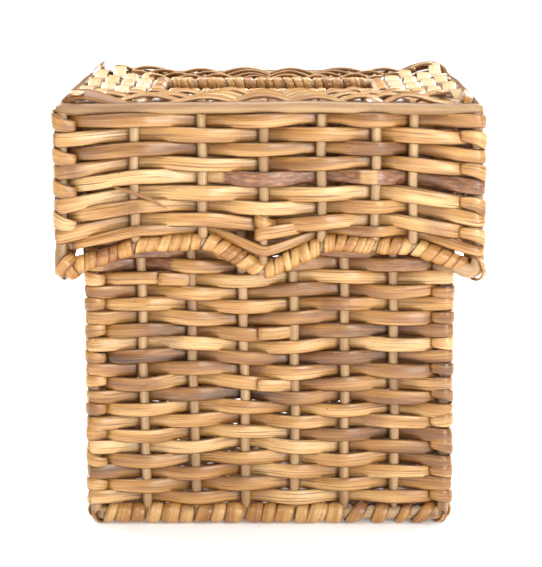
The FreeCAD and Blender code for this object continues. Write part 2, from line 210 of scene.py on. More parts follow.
def distances(line):
    """Distance of each point from the line's start, along the line."""
    steps = np.linalg.norm(np.diff(line, axis=0), axis=1)
    return np.concatenate([[0], np.cumsum(steps)])


def read_at(at, s, values):
    """Columns of values known at distances s, read at other distances."""
    return np.column_stack([np.interp(at, s, column) for column in values.T])


def add_object(name, data):
    made = bpy.data.objects.new(name, data)
    bpy.context.scene.collection.objects.link(made)
    return made


def is_long(side):
    """The front and back are the long sides of the slot and of the lid's rim."""
    return side in ("front", "back")


def oval(count, power=2.4, ridges=0.0):
    """A closed section as (across, outward) pairs in -1..1; ridges makes it slightly fluted."""
    angle = np.linspace(0, 2 * math.pi, count, endpoint=False) + math.pi / count
    c, s = np.cos(angle), np.sin(angle)
    radius = (np.abs(c) ** power + np.abs(s) ** power) ** (-1 / power)
    radius = radius * (1 + ridges * np.sin(5 * angle + rng.uniform(0, 6)))
    return np.stack([radius * c, radius * s], axis=1)


ROUND = oval(16, 2.0)
CANE = oval(10, 3.0)


class Piece:
    """One mesh made of many strands, each a section swept along a line."""

    def __init__(self):
        self.verts, self.quads, self.tris = [], [], []
        self.grain, self.tone, self.edge, self.mark = [], [], [], []
        self.count = 0

    def sweep(self, line, out, width, thick, section, tone=0.5, mark=0.0, roll=0.0, blunt=0.3):
        """Sweeps a section along line (n, 3); out is its outward side, width and thick its size."""
        line = np.asarray(line, float)
        n, m = len(line), len(section)
        along = unit(np.gradient(line, axis=0))
        out = np.broadcast_to(np.asarray(out, float), line.shape)
        across = unit(np.cross(along, out))
        out = np.cross(across, along)
        out = unit(out)
        roll = np.broadcast_to(roll, (n,))[:, None]
        across, out = (
            across * np.cos(roll) + out * np.sin(roll),
            out * np.cos(roll) - across * np.sin(roll),
        )
        width = np.array(np.broadcast_to(width, (n,)), float) / 2
        thick = np.array(np.broadcast_to(thick, (n,)), float) / 2
        width[0] -= min(blunt, width[0] * 0.5)
        width[-1] -= min(blunt, width[-1] * 0.5)
        thick[0] *= 0.7
        thick[-1] *= 0.7
        u, v = section[:, 0], section[:, 1]
        verts = (
            line[:, None, :]
            + across[:, None, :] * (width[:, None] * u)[:, :, None]
            + out[:, None, :] * (thick[:, None] * v)[:, :, None]
        )
        s = distances(line) + rng.uniform(0, 4000)
        shift = rng.uniform(0, 400)
        grain = np.empty((n, m, 3))
        grain[:, :, 0] = s[:, None]
        grain[:, :, 1] = width[:, None] * u + shift
        grain[:, :, 2] = thick[:, None] * v
        i = np.arange(n - 1)[:, None] * m
        j = np.arange(m)[None, :]
        k = (j + 1) % m
        quads = np.stack([i + j, i + m + j, i + m + k, i + k], axis=2).reshape(-1, 4)
        ends = np.array([line[0], line[-1]])
        end_grain = np.array([[s[0], shift, 0.0], [s[-1], shift, 0.0]])
        ring = np.arange(m)
        nxt = (ring + 1) % m
        first = np.stack([np.full(m, n * m), ring, nxt], axis=1)
        last = (n - 1) * m
        final = np.stack([np.full(m, n * m + 1), last + nxt, last + ring], axis=1)
        self.verts.append(np.concatenate([verts.reshape(-1, 3), ends]))
        self.quads.append(quads + self.count)
        self.tris.append(np.concatenate([first, final]) + self.count)
        self.grain.append(np.concatenate([grain.reshape(-1, 3), end_grain]))
        tone = np.broadcast_to(tone, (n,))
        mark = np.broadcast_to(mark, (n,))
        self.tone.append(np.concatenate([np.repeat(tone, m), tone[[0, -1]]]))
        self.mark.append(np.concatenate([np.repeat(mark, m), mark[[0, -1]]]))
        # how near the strand's edge each point is, read by the material to paint shade into the
        # seams; the end caps count as near the edge
        self.edge.append(np.concatenate([np.tile(np.abs(u), n), [0.9, 0.9]]))
        self.count += n * m + 2

    def rod(self, line, out, radii, tone, blunt=0.3):
        self.sweep(line, out, 2 * radii, 2 * radii, ROUND, tone, blunt=blunt)

    def build(self, name, kind, body, *nodes):
        """Makes the mesh object, rides it on its body and lets it stand for its CAD nodes."""
        material, slot = kind
        verts = np.concatenate(self.verts) * MM
        quads, tris = np.concatenate(self.quads), np.concatenate(self.tris)
        mesh = bpy.data.meshes.new(name)
        mesh.vertices.add(len(verts))
        mesh.vertices.foreach_set("co", verts.astype(np.float32).ravel())
        mesh.loops.add(quads.size + tris.size)
        mesh.loops.foreach_set("vertex_index", np.concatenate([quads.ravel(), tris.ravel()]))
        mesh.polygons.add(len(quads) + len(tris))
        starts = np.concatenate(
            [np.arange(len(quads)) * 4, quads.size + np.arange(len(tris)) * 3]
        )
        mesh.polygons.foreach_set("loop_start", starts)
        mesh.polygons.foreach_set("use_smooth", np.ones(len(starts), bool))
        mesh.update(calc_edges=True)
        mesh.validate()
        grain = mesh.attributes.new("grain", "FLOAT_VECTOR", "POINT")
        grain.data.foreach_set("vector", np.concatenate(self.grain).astype(np.float32).ravel())
        for key, values in (("tone", self.tone), ("edge", self.edge), ("mark", self.mark)):
            layer = mesh.attributes.new(key, "FLOAT", "POINT")
            layer.data.foreach_set("value", np.concatenate(values).astype(np.float32))
        made = add_object(name, mesh)
        made.data.materials.append(material)
        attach(made, body)
        if nodes:
            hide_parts(*nodes)


def arch(count):
    """Rises from 0 to 1 and falls back to 0 over a number of points."""
    return np.sin(np.linspace(0, math.pi, count))


def turned(points, side):
    """Turns points made for the front to one of the four sides."""
    angle = QUARTER * SIDES.index(side)
    c, s = math.cos(angle), math.sin(angle)
    points = np.asarray(points, float)
    made = points.copy()
    made[..., 0] = points[..., 0] * c - points[..., 1] * s
    made[..., 1] = points[..., 0] * s + points[..., 1] * c
    return made


def hermite(p, q, tp, tq, count):
    """Points from p to just before q on a cubic that leaves along tp and arrives along tq."""
    t = np.linspace(0, 1, count, endpoint=False)[:, None]
    a, b = 2 * t**3 - 3 * t**2 + 1, t**3 - 2 * t**2 + t
    c, d = -2 * t**3 + 3 * t**2, t**3 - t**2
    return a * p + b * tp + c * q + d * tq


def outward_of(line):
    """Outward side of a line that runs round the box, front first, seen from above."""
    along = np.gradient(line, axis=0)
    out = np.stack([along[:, 1], -along[:, 0], np.zeros(len(line))], axis=1)
    return unit(out)


# ---- materials


class Nodes:
    """A material's node tree with short calls for the few kinds of node it needs."""

    def __init__(self, name):
        self.material = bpy.data.materials.new(name)
        self.material.use_nodes = True
        self.tree = self.material.node_tree
        self.shader = self.tree.nodes["Principled BSDF"]

    def link(self, source, target):
        self.tree.links.new(source, target)

    def put(self, target, value):
        if isinstance(value, bpy.types.NodeSocket):
            self.link(value, target)
        else:
            target.default_value = value

    def attribute(self, name, vector=False):
        node = self.tree.nodes.new("ShaderNodeAttribute")
        node.attribute_name = name
        return node.outputs["Vector" if vector else "Fac"]

    def place(self):
        return self.tree.nodes.new("ShaderNodeTexCoord").outputs["Object"]

    def scaled(self, vector, scale):
        node = self.tree.nodes.new("ShaderNodeVectorMath")
        node.operation = "MULTIPLY"
        self.link(vector, node.inputs[0])
        node.inputs[1].default_value = scale
        return node.outputs["Vector"]

    def noise(self, vector, scale, detail=2.0, rough=0.5):
        node = self.tree.nodes.new("ShaderNodeTexNoise")
        self.link(self.scaled(vector, scale), node.inputs["Vector"])
        for key, number in (("Scale", 1.0), ("Detail", detail), ("Roughness", rough)):
            node.inputs[key].default_value = number
        return node.outputs["Fac"]

    def band(self, value, low, high, to_low=0.0, to_high=1.0, kind="SMOOTHSTEP"):
        node = self.tree.nodes.new("ShaderNodeMapRange")
        node.interpolation_type = kind
        self.link(value, node.inputs["Value"])
        for key, number in zip(
            ("From Min", "From Max", "To Min", "To Max"), (low, high, to_low, to_high)
        ):
            node.inputs[key].default_value = number
        return node.outputs["Result"]

    def math(self, kind, a, b):
        node = self.tree.nodes.new("ShaderNodeMath")
        node.operation = kind
        self.put(node.inputs[0], a)
        self.put(node.inputs[1], b)
        return node.outputs["Value"]

    def ramp(self, value, stops):
        node = self.tree.nodes.new("ShaderNodeValToRGB")
        self.link(value, node.inputs["Fac"])
        elements = node.color_ramp.elements
        while len(elements) < len(stops):
            elements.new(0.5)
        for element, (at, colour) in zip(elements, stops):
            element.position = at
            element.color = (*colour, 1.0)
        return node.outputs["Color"]

    def mix(self, share, a, b):
        node = self.tree.nodes.new("ShaderNodeMix")
        node.data_type = "RGBA"
        self.put(node.inputs["Factor"], share)
        colours = [s for s in node.inputs if s.type == "RGBA"]
        for socket, value in zip(colours, (a, b)):
            self.put(socket, value if isinstance(value, bpy.types.NodeSocket) else (*value, 1.0))
        return [s for s in node.outputs if s.type == "RGBA"][0]

    def bump(self, height, strength, distance, below=None):
        node = self.tree.nodes.new("ShaderNodeBump")
        self.link(height, node.inputs["Height"])
        node.inputs["Strength"].default_value = strength
        node.inputs["Distance"].default_value = distance
        if below is not None:
            self.link(below, node.inputs["Normal"])
        return node.outputs["Normal"]

    def finish(self, colour, roughness, normal, coat, coat_roughness):
        inputs = self.shader.inputs
        self.put(inputs["Base Color"], colour)
        self.put(inputs["Roughness"], roughness)
        self.link(normal, inputs["Normal"])
        inputs["Coat Weight"].default_value = coat
        inputs["Coat Roughness"].default_value = coat_roughness
        inputs["IOR"].default_value = 1.48
        inputs["Specular IOR Level"].default_value = 0.8
        return self.material


def rattan(name, stops, streak, streak_share, coat, ridge):
    """Peeled rattan with grain along the strand: fibres, streaks, specks, scorches and bark, with
    painted shade at each strand's edges and ends and painted glare on the top's side columns.
    """
    n = Nodes(name)
    grain = n.attribute("grain", vector=True)
    broad = n.noise(grain, (0.018, 0.25, 0.25), 2.0)
    streaks = n.noise(grain, (0.028, 1.5, 1.5), 3.0, 0.62)
    lines = n.noise(grain, (0.04, 5.5, 5.5), 2.0, 0.6)
    fibres = n.noise(grain, (0.12, 8.0, 8.0), 2.0, 0.6)
    specks = n.noise(grain, (0.55, 1.9, 1.9), 2.0, 0.6)
    level = n.math("ADD", n.attribute("tone"), n.band(broad, 0.3, 0.7, -0.20, 0.20))
    level = n.math("ADD", level, n.band(fibres, 0.3, 0.7, -0.09, 0.09))
    colour = n.ramp(level, stops)
    colour = n.mix(n.band(streaks, 0.52, 0.68, 0.0, streak_share), colour, streak)
    colour = n.mix(n.band(lines, 0.55, 0.70, 0.0, 0.7), colour, streak)
    pale = n.band(streaks, 0.44, 0.30, 0.0, 0.35)
    colour = n.mix(pale, colour, stops[-1][1])
    colour = n.mix(n.band(specks, 0.69, 0.76, 0.0, 0.8), colour, (0.06, 0.02, 0.008))
    bark = n.ramp(
        n.noise(grain, (0.25, 1.0, 1.0), 4.0, 0.65),
        [(0.3, (0.09, 0.030, 0.010)), (0.5, (0.21, 0.076, 0.026)), (0.70, (0.40, 0.20, 0.08))],
    )
    colour = n.mix(n.attribute("mark"), colour, bark)
    # Painted glare: strands whose tone runs past 1.2, the top's side columns, are paled towards
    # cream in place of the back lights' glare.
    colour = n.mix(n.band(n.attribute("tone"), 1.2, 1.5, 0.0, 0.5), colour, PAINTED_GLARE)
    # Painted shade: each strand, turn and rod is darkened towards its edges and end caps, deepening
    # the seams between neighbouring strands, turns and stakes.
    colour = n.mix(n.band(n.attribute("edge"), 0.78, 1.0, 0.0, 0.62), colour, (0.10, 0.036, 0.011))
    rough = n.band(streaks, 0.3, 0.75, 0.27, 0.54)
    low = n.bump(streaks, 0.45, ridge * MM)
    normal = n.bump(fibres, 0.5, 0.16 * MM, low)
    return n.finish(colour, rough, normal, coat, 0.22)


def rod_skin(name, axis):
    """Bare round rattan core of a kept CAD rod, with its grain along one axis of the part."""
    n = Nodes(name)
    grain = n.scaled(n.place(), (1 / MM, 1 / MM, 1 / MM))

    def along(slow, fast):
        return tuple(slow if k == axis else fast for k in range(3))

    broad = n.noise(grain, along(0.03, 0.2), 2.0)
    fibres = n.noise(grain, along(0.08, 3.5), 3.0, 0.6)
    specks = n.noise(grain, along(0.5, 1.2), 2.0, 0.6)
    level = n.math("ADD", broad, n.band(fibres, 0.3, 0.7, -0.2, 0.2))
    colour = n.ramp(level, ROD_STOPS)
    colour = n.mix(n.band(specks, 0.72, 0.80, 0.0, 0.6), colour, (0.16, 0.07, 0.03))
    normal = n.bump(fibres, 0.35, 0.12 * MM)
    return n.finish(colour, n.band(fibres, 0.3, 0.7, 0.42, 0.58), normal, 0.08, 0.4)


# cream that the top's side columns are paled towards, as painted glare
PAINTED_GLARE = (0.80, 0.63, 0.44)
STRAND_STOPS = [
    (0.0, (0.070, 0.028, 0.008)),
    (0.22, (0.20, 0.080, 0.016)),
    (0.45, (0.365, 0.168, 0.037)),
    (0.70, (0.53, 0.282, 0.080)),
    (1.0, (0.70, 0.455, 0.200)),
]
CANE_STOPS = [
    (0.0, (0.12, 0.045, 0.010)),
    (0.25, (0.30, 0.122, 0.024)),
    (0.5, (0.46, 0.222, 0.056)),
    (0.75, (0.58, 0.330, 0.105)),
    (1.0, (0.71, 0.47, 0.21)),
]
CORE_STOPS = [
    (0.0, (0.20, 0.10, 0.04)),
    (0.35, (0.33, 0.195, 0.085)),
    (0.6, (0.44, 0.275, 0.132)),
    (1.0, (0.58, 0.40, 0.215)),
]
ROD_STOPS = [
    (0.25, (0.32, 0.195, 0.095)),
    (0.5, (0.43, 0.28, 0.15)),
    (0.75, (0.54, 0.375, 0.22)),
]
strand_skin = rattan("woven_strand", STRAND_STOPS, (0.20, 0.080, 0.018), 0.85, 0.55, 0.34)
cane_skin = rattan("cane_binding", CANE_STOPS, (0.27, 0.105, 0.022), 0.65, 0.40, 0.22)
core_skin = rattan("rattan_core", CORE_STOPS, (0.26, 0.14, 0.06), 0.35, 0.10, 0.14)
# material and slot of each kind of piece
STRANDS = (strand_skin, "woven_strand")
CORES = (core_skin, "stake_core")
RODS = (core_skin, "frame_rod")
BINDING = (cane_skin, "cane_binding")
rod_skins = {axis: rod_skin("bare_rod_" + "xyz"[axis], axis) for axis in range(3)}


# ---- courses of the walls


def corner_spot(corner, way, outside, reach):
    """Where a course meets a corner post, and its heading; way is -1 left, 1 right."""
    if outside:
        return corner + [0, -reach], np.array([1.0, 0.0])
    return corner + np.array([-way * SLANT, SLANT]) * reach, np.array([SLANT, way * SLANT])


def corner_arc(corner, start, reach):
    """An eighth of a turn round the outside of a corner post, from an angle in degrees."""
    angle = np.radians(np.linspace(start, start + 45, 5, endpoint=False))[:, None]
    return corner + reach * np.hstack([np.cos(angle), np.sin(angle)])


def wall_plan(half, stakes, sign, amp, reach, per_span):
    """Plan of one course round all four walls: points (n, 2) and the crossing number of each."""
    left, right = np.array([-half, -half]), np.array([half, -half])
    points, numbers = [], []
    for index, side in enumerate(SIDES):
        signs = [sign * (-1) ** i for i in range(SPANS + 1)]
        first, first_head = corner_spot(left, -1, signs[0] > 0, reach)
        last, last_head = corner_spot(right, 1, signs[-1] > 0, reach)
        spots = [np.array([x, -half - s * amp]) for x, s in zip(stakes[side], signs[1:])]
        spots = [first, *spots, last]
        heads = [first_head, *[np.array([1.0, 0.0])] * (SPANS - 1), last_head]
        side_points, side_numbers = [], []
        if signs[0] > 0:
            side_points.append(corner_arc(left, -135, reach))
            side_numbers.append(np.zeros(5))
        for i, (p, q, tp, tq) in enumerate(zip(spots, spots[1:], heads, heads[1:])):
            span = np.linalg.norm(q - p)
            side_points.append(hermite(p, q, tp * span, tq * span, per_span))
            side_numbers.append(i + np.linspace(0, 1, per_span, endpoint=False))
        if signs[-1] > 0:
            side_points.append(corner_arc(right, -90, reach))
            side_numbers.append(np.full(5, float(SPANS)))
        points.append(turned(np.concatenate(side_points), side))
        numbers.append(np.concatenate(side_numbers) + SPANS * index)
        sign = -sign
    points.append(points[0][:1])
    numbers.append([4.0 * SPANS])
    return np.concatenate(points), np.concatenate(numbers)


def at_crossings(numbers, values):
    """A value given at each crossing, eased between them."""
    low = np.floor(numbers).astype(int) % len(values)
    share = numbers - np.floor(numbers)
    share = share * share * (3 - 2 * share)
    return values[low] * (1 - share) + values[(low + 1) % len(values)] * share


def drift(plan, z, seed):
    """Slow rise and fall that neighbouring courses share, so that they stay apart."""
    x, y = plan[:, 0], plan[:, 1]
    return (
        0.55 * np.sin(x / 9.5 + z / 19.0 + seed)
        + 0.50 * np.sin(y / 9.0 - z / 27.0 + 2 * seed)
        + 0.50 * np.sin((x + y) / 20.0 + z / 15.0 + 3 * seed)
    )


def strand_tone(plain=0.62, spread=0.16, dark=0.13):
    """How pale one strand is: most are golden, a share of them is dark."""
    if rng.random() < dark:
        return rng.uniform(0.22, 0.40)
    return float(np.clip(rng.normal(plain, spread), 0.3, 0.98))


def spliced(numbers, sign, plain, spread, dark):
    """Tone along a course: a new strand starts behind a stake every few spans."""
    tones = np.empty(len(numbers))
    start = 0
    while start <= 4 * SPANS:
        stop = start + int(rng.integers(3, 11))
        if sign * (-1) ** stop > 0:
            stop += 1
        tones[(numbers >= start) & (numbers <= stop)] = strand_tone(plain, spread, dark)
        start = stop
    return tones


def weave_course(piece, half, stakes, sign, z_of, width, amp, reach, tone, kink, bark=None):
    """One course round the box; z_of gives its height from plan points, bark its dark skin."""
    plan, numbers = wall_plan(half, stakes, sign, amp, reach, POINTS_PER_SPAN)
    z = z_of(plan) + at_crossings(numbers, rng.normal(0, kink, 4 * SPANS))
    line = np.column_stack([plan, z])
    s = distances(line)
    over = sign * np.cos(math.pi * numbers)
    widths = width + 0.25 * over + waves(s, (47, 83, 19), (0.18, 0.20, 0.10))
    thicks = STRAND_T - 0.06 * over + waves(s, (61, 23), (0.08, 0.05))
    roll = waves(s, (37, 71), (0.09, 0.09))
    tones = spliced(numbers, sign, *tone) + waves(s, (95, 43), (0.09, 0.06))
    mark = np.clip(waves(s, (130, 57, 31), (0.5, 0.3, 0.2)) - 0.68, 0, 1) * 2.0
    if bark is not None:
        mark = np.maximum(mark, bark(plan))
    section = oval(14, rng.uniform(2.5, 3.3), rng.uniform(0.0, 0.05))
    piece.sweep(line, outward_of(line), widths, thicks, section, tones, mark, roll)


def cut_end(piece, half, x, z_of, side, tone):
    """The cut end of a strand that lies on its course at x and dives behind the next stake."""
    t = np.linspace(0, 1, 9)
    plan = np.column_stack([x + 14.5 * t, -half - 3.9 + 3.7 * t**1.6])
    z = z_of(turned(plan, side)) + rng.uniform(-0.3, 0.3)
    line = np.column_stack([plan, z])
    out = outward_of(line)
    section = oval(12, 3.2, 0.03)
    piece.sweep(turned(line, side), turned(out, side), 5.2, 1.2, section, tone, blunt=0.0)


def corner_loop(piece, half, z, width, reach, tail, corner, tone, slope):
    """A strand turned on a slant round the outside of a corner post, its ends tucked in."""
    tuck = 2.0
    near = np.array([-half, -half - reach])
    side_on = np.array([-half - reach, -half])
    angle = np.radians(np.linspace(-180, -90, 11))
    arc = np.column_stack([-half + reach * np.cos(angle), -half + reach * np.sin(angle)])
    into = (side_on + [tuck, tail], side_on, np.array([-tuck * 2, -tail]), np.array([0, -tail]))
    away = (near, near + [tail, tuck], np.array([tail, 0]), np.array([tail, tuck * 2]))
    plan = np.concatenate([hermite(*into, 6), arc, hermite(*away, 7)[1:]])
    rise = slope * np.cos(np.linspace(0, math.pi, len(plan)))
    line = np.column_stack([plan, z + rise])
    out = outward_of(line)
    side = SIDES[CORNERS.index(corner)]
    widths = width * (0.70 + 0.30 * arch(len(plan)))
    section = oval(14, 2.3, rng.uniform(0.0, 0.05))
    tones = tone + waves(np.linspace(0, 20, len(plan)), (23, 9), (0.08, 0.05))
    piece.sweep(turned(line, side), turned(out, side), widths, LOOP_T, section, tones)


def nearly_level(middle, calm):
    """Height of a basket course from plan points: level but for the drift that it shares."""
    return lambda plan: middle + calm * drift(plan, middle, 1.0)


def basket_walls():
    pitch = (COURSES_HIGH - COURSES_LOW - CAD_STRAND_W) / (COURSES - 1)
    stakes = {side: BASKET_STAKES for side in SIDES}
    amp = STAKE_R + STRAND_T / 2 - 0.05
    reach = POST_R + STRAND_T / 2 - 0.1
    for first in range(0, COURSES, COURSES_PER_NODE):
        piece = Piece()
        for course in range(first, min(first + COURSES_PER_NODE, COURSES)):
            middle = COURSES_LOW + CAD_STRAND_W / 2 + course * pitch
            sign = (-1) ** course
            calm = min(1.0, (1 + course) / 4, (COURSES - course) / 4)
            z_of = nearly_level(middle, calm)
            width = STRAND_W + rng.uniform(-0.2, 0.25)
            skin = weathered if course in WEATHERED_COURSES else None
            sizes = (width, amp, reach)
            weave_course(
                piece, BASKET_HALF, stakes, sign, z_of, *sizes, BASKET_TONE, 0.25, skin
            )
            for at_course, side, stake in CUT_ENDS:
                if at_course == course:
                    x = BASKET_STAKES[stake - 1] + rng.uniform(2.5, 6.0)
                    cut_end(piece, BASKET_HALF, x, z_of, side, rng.uniform(0.6, 0.8))
            for index, corner in enumerate(CORNERS):
                if sign * (-1) ** index < 0:
                    z = middle + rng.uniform(-0.4, 0.4)
                    slope = rng.uniform(-0.6, 1.5)
                    shade = strand_tone(0.52, 0.14, 0.2)
                    wide = rng.uniform(5.0, 6.0)
                    corner_loop(
                        piece, BASKET_HALF, z, wide, reach + 0.4, 5.2, corner, shade, slope
                    )
        node = "wall_courses_%02d" % (first // COURSES_PER_NODE + 1)
        piece.build("weave_" + node, STRANDS, "basket", node)


def rounded(points, radii, step=0.8):
    """A polyline with its corners rounded, as evenly spaced points (n, 2)."""
    points = [np.array(p, float) for p in points]
    path = [points[0]]
    for before, bend, after, radius in zip(points, points[1:], points[2:], radii):
        into, leave = unit(bend - before), unit(after - bend)
        turn = math.acos(float(np.clip(into @ leave, -1, 1)))
        back = radius * math.tan(turn / 2)
        start, stop = bend - into * back, bend + leave * back
        t = np.linspace(0, 1, 9)[:, None]
        path.extend((1 - t) ** 2 * start + 2 * t * (1 - t) * bend + t**2 * stop)
    path.append(points[-1])
    path = np.array(path)
    s = distances(path)
    return read_at(np.linspace(0, s[-1], int(s[-1] / step) + 2), s, path)


def skirt_line(side):
    """The skirt's lower edge on one side, from corner to corner, as (x, z) points."""
    bends = FRONT_BENDS if side == "front" else EVEN_BENDS
    ends = [(-LID_HALF, SKIRT_CORNER_Z), (LID_HALF, SKIRT_CORNER_Z)]
    return rounded([ends[0], *bends, ends[1]], SKIRT_RADII)


SKIRT_LINES = {side: skirt_line(side) for side in SIDES}


def sags(plan):
    """At plan points round the lid: 0 to 1 towards its corners, and 0 to 1 into the valleys."""
    corner, valley = np.zeros(len(plan)), np.zeros(len(plan))
    for side in SIDES:
        local = turned(plan, SIDES[-SIDES.index(side) % 4])
        x = local[:, 0]
        on = -local[:, 1] >= np.abs(x) - 1e-6
        line = SKIRT_LINES[side]
        drop = SKIRT_ARCH_Z - np.interp(x, line[:, 0], line[:, 1])
        drop /= SKIRT_ARCH_Z - SKIRT_VALLEY_Z
        between = np.abs(x) < ARCH_X
        valley[on & between] = drop[on & between]
        corner[on] = (np.clip((np.abs(x) - 50.0) / 30.0, 0, 1) ** 1.2)[on]
    return corner, valley


def bark_skin(plan):
    """The stretch of one lid course that kept its bark, right of the front's middle."""
    x, y = plan[:, 0], plan[:, 1]
    patch = (x > -17.0) & ((x < 35.0) | (x > 41.0)) & (y < -LID_HALF + 6.0)
    return np.where(patch, 0.95, 0.0)


def weathered(plan):
    """Bark and brown weathering on the front of the course that shows just under the skirt."""
    x, y = plan[:, 0], plan[:, 1]
    barky = (x > -65.0) & (x < -38.0)
    brown = (x > 4.0) & (x < 62.0)
    return np.where(y < -BASKET_HALF + 5.0, 0.9 * barky + 0.5 * brown, 0.0)


def lid_course(piece, course):
    amp = STAKE_R + STRAND_T / 2 - 0.05
    reach = POST_R + STRAND_T / 2
    middle, width = LID_ROW_Z[course], LID_ROW_W[course]
    sign = (-1) ** (course + 1)

    def z_of(plan):
        corner, valley = sags(plan)
        level = middle - LID_DROOP[course] * corner - LID_DIP[course] * valley
        return level + 0.4 * drift(plan, middle, 4.0)

    skin = bark_skin if course == BARK_COURSE else None
    sizes = (width, amp, reach)
    weave_course(piece, LID_HALF, LID_STAKES, sign, z_of, *sizes, LID_TONE, 0.2, skin)
    for index, corner in enumerate(CORNERS):
        if sign * (-1) ** index < 0 and course < len(LID_ROW_Z) - 1:
            z = middle - LID_DROOP[course]
            slope = rng.uniform(1.4, 2.2)
            shade = rng.normal(0.66, 0.08)
            corner_loop(piece, LID_HALF, z, 6.0, reach + 0.5, 6.2, corner, shade, slope)


def splinter(piece):
    """A long splinter that has lifted from a strand and lies slantwise over the lid's front."""
    t = np.linspace(0, 1, 12)
    x = -60.0 + 21.0 * t
    z = 136.4 - 8.2 * t + 1.0 * np.sin(math.pi * t)
    y = -LID_HALF - 3.7 - 0.5 * np.sin(math.pi * t)
    line = np.column_stack([x, y, z])
    width = 0.5 + 1.0 * np.sin(math.pi * np.clip(t * 0.9 + 0.05, 0, 1))
    piece.sweep(line, FORWARD, width, 0.4, oval(8, 2.2), 0.3)


def valley_fill(piece, side):
    """Short strands turned round the stake that stands in the valley of the skirt."""
    x = LID_STAKES[side][2] if side == "front" else LID_STAKES[side][2] + 4.0
    reach = STAKE_R + STRAND_T / 2
    # height, climb, length of the tail and tone of each
    for z, climb, run, tone in ((123.0, -2.6, 5.0, 0.66), (117.6, 2.6, 15.0, 0.70)):
        angle = np.radians(np.linspace(-200, -90, 9))
        arc = np.column_stack([reach * np.cos(angle), reach * np.sin(angle)])
        tail = np.linspace(0.15, 1, 7)[:, None] * [run, 0]
        tail[:, 1] = -reach + 3.6 * np.linspace(0.15, 1, 7) ** 2
        plan = np.concatenate([arc, tail])
        height = z + climb * np.linspace(-0.5, 1, len(plan))
        line = np.column_stack([x + plan[:, 0], -LID_HALF + plan[:, 1], height])
        out = outward_of(line)
        widths = 5.3 * (0.8 + 0.2 * np.sin(np.linspace(0.2, 2.6, len(plan))))
        section = oval(14, 2.6, 0.03)
        piece.sweep(turned(line, side), turned(out, side), widths, 1.3, section, tone)


def lid_walls():
    for number, courses in enumerate(LID_COURSE_NODES):
        piece = Piece()
        for course in courses:
            lid_course(piece, course)
        if BARK_COURSE in courses:
            splinter(piece)
        if number == len(LID_COURSE_NODES) - 1:
            for side in SIDES:
                valley_fill(piece, side)
        node = "lid_courses_%d" % (number + 1)
        piece.build("weave_" + node, STRANDS, "lid", node)


# ---- stakes and rods


def core(piece, start, end, radius, tone, bow, out, point=0.0):
    """A round core from start to end, hardly bent; point is the length of its sharpened start."""
    start, end = np.array(start, float), np.array(end, float)
    length = np.linalg.norm(end - start)
    t = np.linspace(0, 1, max(8, int(length / 2.5)))
    t = np.concatenate([[0, 0.25 / length, 1.2 / length], t[1:-1], [1 - 0.25 / length, 1]])
    line = start + (end - start) * t[:, None]
    s = t * length
    side = unit(np.cross(end - start, out))
    line = line + side * (np.sin(math.pi * t) * waves(s, (length, 41), (bow, bow / 2)))[:, None]
    radii = radius * (1 + waves(s, (53, 17), (0.025, 0.012)))
    if point:
        radii = radii * np.clip(0.35 + 0.65 * s / point, 0, 1)
    tones = tone + waves(s, (60, 22), (0.07, 0.04))
    piece.rod(line, out, radii, tones, blunt=0.25)


def basket_stakes():
    for side in SIDES:
        piece = Piece()
        leans = FRONT_STAKE_LEAN if side == "front" else rng.uniform(-1.2, 1.2, len(BASKET_STAKES))
        for x, lean in zip(BASKET_STAKES, leans):
            start = turned([x - lean / 3, -BASKET_HALF - 0.7, BASE_Z + 0.6], side)
            end = turned([x + lean, -BASKET_HALF, RIM_Z - 0.5], side)
            out = turned(FORWARD, side)
            core(piece, start, end, STAKE_R, rng.normal(0.52, 0.08), 0.35, out, 4.0)
        node = "wall_stakes_" + side
        piece.build("cores_" + node, CORES, "basket", node)


def lid_stakes():
    for side in SIDES:
        piece = Piece()
        line = SKIRT_LINES[side]
        for x in LID_STAKES[side]:
            low = np.interp(x, line[:, 0], line[:, 1]) + 0.8
            start = turned([x, -LID_HALF - 0.4, low], side)
            top = LID_RIM_Z - LID_ROD_R + 0.4
            end = turned([x + rng.uniform(-0.5, 0.5), -LID_HALF, top], side)
            out = turned(FORWARD, side)
            core(piece, start, end, STAKE_R, rng.normal(0.55, 0.08), 0.3, out, 1.2)
        node = "lid_stakes_" + side
        piece.build("cores_" + node, CORES, "lid", node)


def diagonal_ring(piece, centre, slant, radius, width, tone, tilt=0.0):
    """Cane once round a rod's bend at a corner; slant is the plan angle of the ring's plane."""
    angle = np.linspace(0, 2 * math.pi, 33)
    flat = np.array([math.cos(slant), math.sin(slant), 0.0])
    across = np.array([-math.sin(slant), math.cos(slant), 0.0])
    radial = np.outer(np.cos(angle), flat) + np.outer(np.sin(angle), [0.0, 0.0, 1.0])
    line = centre + radius * radial + across * (tilt * np.sin(angle))[:, None]
    piece.sweep(line, radial, width, 1.1, CANE, tone)


def knuckle_band(piece, centre, heading, reach, depth, width, side, tone, bow):
    """Cane laid slantwise round a bend in the wall's plane; heading is (x, z) along the band."""
    angle = np.linspace(0, 2 * math.pi, 33)
    along = np.array([heading[0], 0.0, heading[1]])
    c, s = np.cos(angle), np.sin(angle)
    line = centre + np.outer(reach * c, along) + np.outer(depth * s, FORWARD)
    line = line + np.outer(bow * s, [-heading[1], 0.0, heading[0]])
    out = np.outer(c * depth, along) + np.outer(s * reach, FORWARD)
    piece.sweep(turned(line, side), turned(unit(out), side), width, 1.0, CANE, tone)


